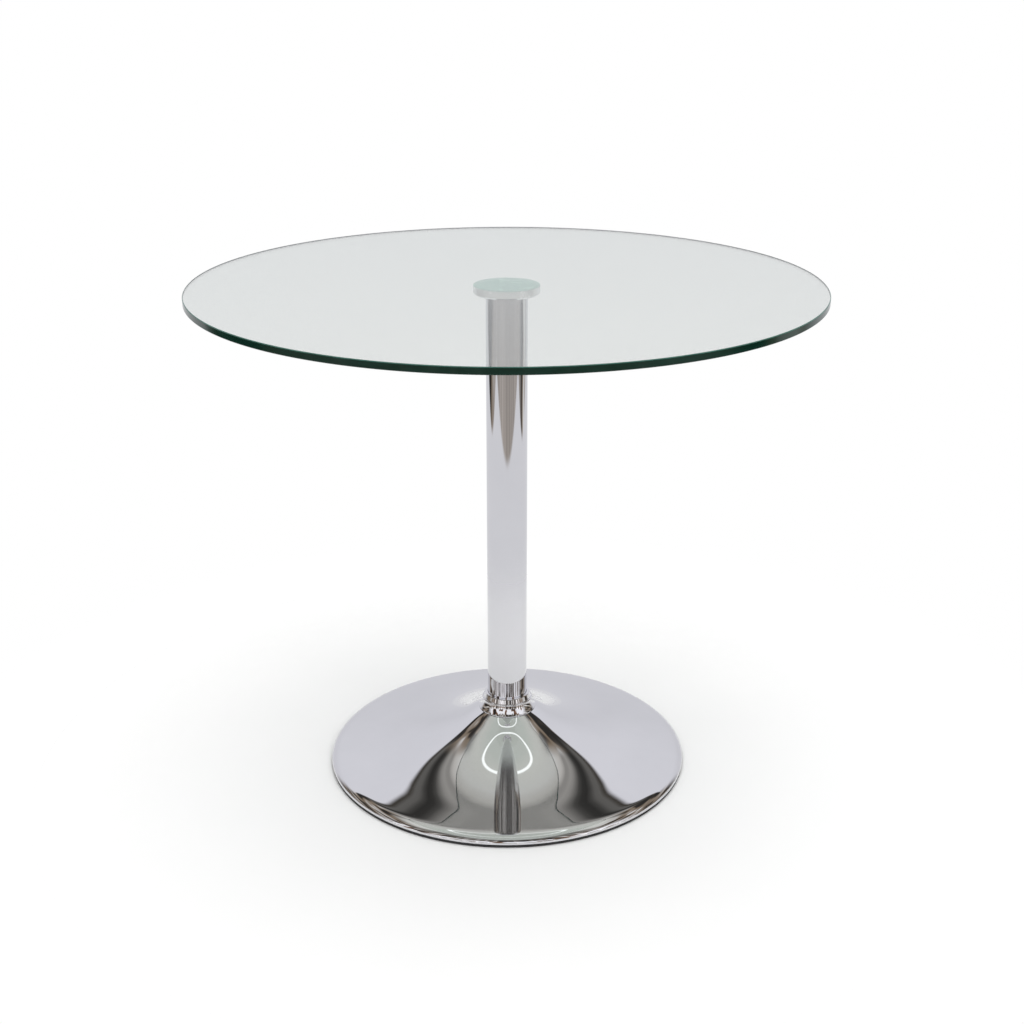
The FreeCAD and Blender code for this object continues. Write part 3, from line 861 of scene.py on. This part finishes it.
def clutter(nodes, look):
    """Things that stand about the studio to both sides, and where they are seen."""
    spot = nodes.add("ShaderNodeCombineXYZ")
    nodes.plug(spot.inputs[0], nodes.times(look.azimuth, 2.0))
    nodes.plug(spot.inputs[1], nodes.times(look.zenith, 8.0))
    things = nodes.ramp(nodes.noise(spot.outputs[0], 1.0, 1.0, 0.4, 0.3), (
        (0.36, (0.035, 0.033, 0.03)),
        (0.45, (0.06, 0.052, 0.045)),
        (0.50, (0.24, 0.19, 0.14)),
        (0.58, (0.32, 0.27, 0.22)),
        (0.65, (0.85, 0.85, 0.83)),
    ))
    beside = nodes.times(nodes.degrees(look.aside, 27, 38), nodes.degrees(look.zenith, 29, 38))
    return things, beside


def sweep_behind(nodes, look):
    """Pale sweep behind the table, and where it is seen: below a brim that droops to both sides."""
    tone = nodes.ramp(look.tilt, (
        stop(50, 0.86, LILAC),
        stop(62, 0.84, LILAC),
        stop(75, 0.77, LILAC),
        stop(110, 0.77, LILAC),
        stop(180, 0.8, LILAC),
    ))
    brim_angle = math.radians(47.2)
    lowest_brim = math.radians(58)
    droop_start = math.radians(28)
    past = nodes.math("MAXIMUM", nodes.less(look.aside, droop_start), 0.0)
    droop = nodes.times(nodes.math("POWER", past, 2.0), 0.7)
    brim = nodes.math("MINIMUM", nodes.plus(droop, brim_angle), lowest_brim)
    below_brim = nodes.spread(nodes.less(look.zenith, brim), 0.0, 0.02)
    return tone, nodes.times(below_brim, nodes.degrees(look.aside, 46, 62, 1.0, 0.0))


def room_ahead(nodes, look):
    """Brown room in front: upright bars of light and dark, with windows and furniture at eye height."""
    walls = nodes.ramp(look.tilt, (
        stop(0, 0.68, GREENISH),
        stop(18, 0.60, GREENISH),
        stop(26, 0.14, WARM),
        stop(34, 0.16, WARM),
        stop(42, 0.20, WARM),
        stop(76, 0.10, WARM),
        stop(80, 0.46),
        stop(86, 0.48),
        stop(90, 0.18, (1.0, 0.84, 0.70)),
        stop(101, 0.39, (1.0, 0.94, 0.89)),
        stop(110, 0.41, (1.0, 0.90, 0.80)),
        stop(114, 0.80),
        stop(180, 0.84),
    ))
    stripes = nodes.add("ShaderNodeTexNoise", noise_dimensions="1D")
    nodes.plug(stripes.inputs["W"], look.azimuth)
    stripes.inputs["Scale"].default_value = 5.0
    stripes.inputs["Detail"].default_value = 3.0
    bars = nodes.ramp(stripes.outputs["Fac"], (
        (0.36, (0.18, 0.17, 0.16)),
        (0.44, (0.8, 0.72, 0.62)),
        (0.52, (1.3, 1.25, 1.2)),
        (0.57, (5.0, 5.0, 5.1)),
        (0.62, (1.0, 0.9, 0.8)),
        (0.7, (0.3, 0.25, 0.22)),
    ))
    below_ceiling = nodes.spread(look.tilt, 0.12, 0.2)
    above_ground = nodes.spread(look.tilt, 0.53, 0.575, 1.0, 0.12)
    barred = nodes.times(below_ceiling, above_ground)
    room = nodes.mix(barred, walls, nodes.mix(1.0, walls, bars, "MULTIPLY"))
    spot = nodes.add("ShaderNodeCombineXYZ")
    nodes.plug(spot.inputs[0], nodes.times(look.facing, 1.9))
    nodes.plug(spot.inputs[1], nodes.times(look.zenith, 0.7))
    furniture = nodes.ramp(nodes.noise(spot.outputs[0], 1.3, 1.0, 0.5), (
        (0.38, (0.03, 0.027, 0.024)),
        (0.42, (0.20, 0.11, 0.07)),
        (0.46, (0.34, 0.22, 0.15)),
        (0.48, (1.15, 1.15, 1.18)),
        (0.60, (1.1, 1.1, 1.12)),
        (0.64, (0.10, 0.07, 0.05)),
    ))
    below_lintel = nodes.spread(look.tilt, 0.245, 0.26)
    above_seats = nodes.spread(look.tilt, 0.42, 0.47, 1.0, 0.0)
    return nodes.mix(nodes.times(below_lintel, above_seats), room, furniture)


def floor_scallops(nodes, look):
    """Where the room shows below the horizon: down to the pale floor, whose edge has three scallops."""
    below_horizon = nodes.less(look.zenith, math.radians(90))
    room_seen = 0.0
    for heading, depth, narrow in ((3, 18.8, 0.056), (-90, 17.6, 0.17), (96, 17.8, 0.17)):
        offset = nodes.math("ABSOLUTE", nodes.less(look.facing, math.radians(heading)))
        curve = nodes.times(nodes.math("POWER", offset, 2.0), narrow)
        edge = nodes.less(math.radians(depth), curve)
        inside = nodes.spread(nodes.less(edge, below_horizon), -0.004, 0.006)
        room_seen = nodes.math("MAXIMUM", room_seen, inside)
    return room_seen


def ring_lamp(nodes, look):
    """Where the thin ring lamp is seen, a rounded square a little behind the zenith."""
    half_across = math.radians(12.5)
    half_away = math.radians(13.5)
    centre = math.radians(14)
    bulge = 2.6
    across = nodes.divided(nodes.times(look.side, look.zenith), half_across)
    away = nodes.divided(nodes.less(nodes.times(look.back, look.zenith), centre), half_away)
    powers = [nodes.math("POWER", nodes.math("ABSOLUTE", part), bulge) for part in (across, away)]
    size = nodes.math("POWER", nodes.plus(*powers), 1 / bulge)
    distance = nodes.math("ABSOLUTE", nodes.less(size, 1.0))
    return nodes.spread(distance, 0.022, 0.06, 1.0, 0.0)


def make_world():
    """Plain white to the eye. In reflections it is a studio: pale sweep, dark gap, pale ceiling
    with a thin ring lamp, and a brown room in front."""
    world = bpy.data.worlds.new("studio")
    scene.world = world
    world.use_nodes = True
    nodes = Nodes(world.node_tree)
    look = Look(nodes)
    things, beside = clutter(nodes, look)
    sweep, sweep_seen = sweep_behind(nodes, look)
    behind = nodes.mix(beside, ceiling(nodes, look), things)
    behind = nodes.mix(sweep_seen, behind, sweep)
    in_front = nodes.spread(look.back, -0.35, 0.05, 1.0, 0.0)
    surround = nodes.mix(in_front, behind, room_ahead(nodes, look))
    above_horizon = nodes.spread(look.tilt, 0.5, 0.51, 1.0, 0.0)
    above_floor = nodes.math("MAXIMUM", floor_scallops(nodes, look), above_horizon)
    surround = nodes.mix(above_floor, (0.80, 0.80, 0.82), surround)
    surround = nodes.mix(ring_lamp(nodes, look), surround, (1.7, 1.75, 1.72))
    path = nodes.add("ShaderNodeLightPath")
    bounces = nodes.plus(path.outputs["Glossy Depth"], path.outputs["Diffuse Depth"])
    seen_directly = nodes.math("LESS_THAN", bounces, 0.5)
    background = world.node_tree.nodes["Background"]
    nodes.plug(background.inputs["Color"], nodes.mix(seen_directly, surround, WHITE))
    return world


def make_lamp(name, place, target, size, power):
    """Large soft lamp that lights the floor without showing as a square in the chrome."""
    data = bpy.data.lights.new(name, "AREA")
    data.shape = "DISK"
    data.size = size
    data.energy = power
    lamp = bpy.data.objects.new(name, data)
    lamp.location = place
    lamp.rotation_euler = (Vector(target) - Vector(place)).to_track_quat("-Z", "Y").to_euler()
    lamp.visible_camera = False
    lamp.visible_glossy = False
    lamp.visible_transmission = False
    scene.collection.objects.link(lamp)
    return lamp


def make_camera():
    """Camera at the photographer's eye, looking down at the table."""
    data = bpy.data.cameras.new("eye")
    data.lens = LENS
    data.sensor_width = SENSOR
    camera = bpy.data.objects.new("eye", data)
    camera.location = (0, -EYE_DISTANCE, EYE_HEIGHT)
    camera.rotation_euler = (math.radians(90 - EYE_PITCH), 0, math.radians(-EYE_TURN))
    scene.collection.objects.link(camera)
    scene.camera = camera


def make_chromed_parts():
    """Base shell, column and collar, each with its own polish."""
    make_shell(chrome("chrome_spun_shell", line_scale=900.0, line_depth=0.0008 * MM, haze=0.024))
    make_tube(chrome("chrome_drawn_tube", line_scale=700.0, line_depth=0.0004 * MM, haze=0.025))
    make_collar(chrome("chrome_turned_collar", line_scale=1200.0, line_depth=0.0008 * MM, haze=0.03))


def make_top():
    """The pane, the disc that carries it and the film between them."""
    # painted light: the pane's edge is opaque, its dark green painted in for light passing through the
    # glass; the lighter copy for the top arris is a painted highlight
    side = glass_edge("green_glass_edge_painted_light", (0.002, 0.020, 0.012), (0.004, 0.030, 0.020), roughness=0.06)
    bevel = glass_edge("green_glass_arris_painted_highlight", (0.03, 0.09, 0.072), (0.05, 0.13, 0.105), roughness=0.12)
    satin = turned_metal(
        "satin_turned_aluminium", (0.92, 0.93, 0.93), (0.96, 0.97, 0.97),
        roughness=0.24, line_scale=2600.0, line_depth=0.01 * MM, metallic=0.45,
    )
    polished = turned_metal(
        "polished_bevel", (0.80, 0.81, 0.82), (0.86, 0.87, 0.87),
        roughness=0.08, line_scale=1500.0, line_depth=0.002 * MM,
    )
    make_glass(clear_glass(), side, bevel)
    make_film(clear_adhesive())
    make_disc(satin, polished)


def make_foot_and_fixings():
    """Rubber foot, ballast, rod and nut, and the materials of the pieces that keep their CAD mesh."""
    zinc = zinc_plate()
    black = rubber("black_moulded_rubber", (0.016, 0.016, 0.017), grain_scale=1500.0, grain_depth=0.05 * MM)
    pads = rubber("closed_cell_rubber", (0.035, 0.034, 0.034), grain_scale=700.0, grain_depth=0.3 * MM)
    steel = turned_metal(
        "machined_steel", (0.36, 0.36, 0.37), (0.48, 0.48, 0.48),
        roughness=0.36, line_scale=1500.0, line_depth=0.02 * MM,
    )
    make_floor_ring(black)
    make_ballast(painted_iron())
    make_rod(zinc)
    make_nut(zinc)
    kept = {
        "column_top_plug": steel,
        "column_foot_plug": steel,
        "neck_plate": steel,
        "spacer_sleeve": zinc,
        "rod_washer": zinc,
        "rod_lock_washer": zinc,
        "collar_o_ring": black,
        "damping_pads": pads,
    }
    for node, material in kept.items():
        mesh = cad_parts[node].data
        mesh.materials.clear()
        mesh.materials.append(material)


def make_studio():
    """Floor, surroundings, lamps and camera."""
    make_floor()
    make_world()
    make_lamp("overhead_softbox", place=(0.04, -0.05, 3.0), target=(0, 0, 0), size=2.6, power=71)
    make_lamp("front_softbox", place=(1.6, -2.2, 2.4), target=(0, 0, 0.3), size=1.8, power=16)
    make_camera()
    scene.view_settings.view_transform = "Standard"


make_chromed_parts()
make_top()
make_foot_and_fixings()
make_studio()
